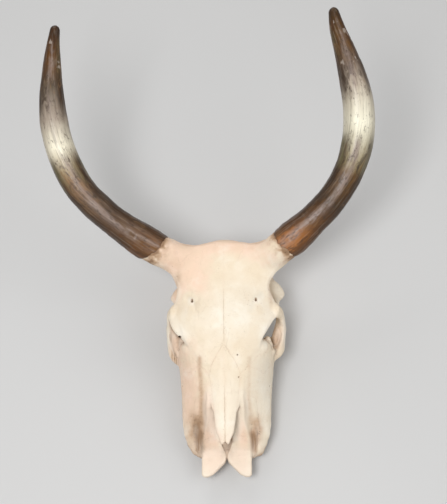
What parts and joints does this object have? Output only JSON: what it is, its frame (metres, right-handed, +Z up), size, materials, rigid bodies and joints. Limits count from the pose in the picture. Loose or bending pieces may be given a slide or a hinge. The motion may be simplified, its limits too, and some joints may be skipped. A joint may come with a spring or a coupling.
{
  "type": "long-horned cow skull",
  "caption": "Life-size dry skull of a long-horned cow without its lower jaw, parted into its bones, with two horn sheaths that sweep out, back and up.",
  "frame": {"origin": "middle of the bounding box in X and Y, on the floor the skull lies on", "axes": "+Y from the muzzle to the poll and the horn tips, +Z up from the floor, +X the animal's left"},
  "size_m": [0.6438, 0.8146, 0.4253],
  "materials": {
    "bone": "dry bleached bone, matt",
    "horn": "weathered horn, half gloss, brown at root and tip and cream between"
  },
  "bodies": {
    "root": {"nasal_left": "bone", "nasal_right": "bone", "premaxilla_left": "bone", "premaxilla_right": "bone", "frontal": "bone", "lacrimal_left": "bone", "lacrimal_right": "bone", "zygomatic_left": "bone", "zygomatic_right": "bone", "temporal_left": "bone", "temporal_right": "bone", "maxilla_left": "bone", "maxilla_right": "bone", "sphenoid": "bone", "occipital": "bone", "horn_left": "horn", "horn_right": "horn"}
  },
  "joints": []
}
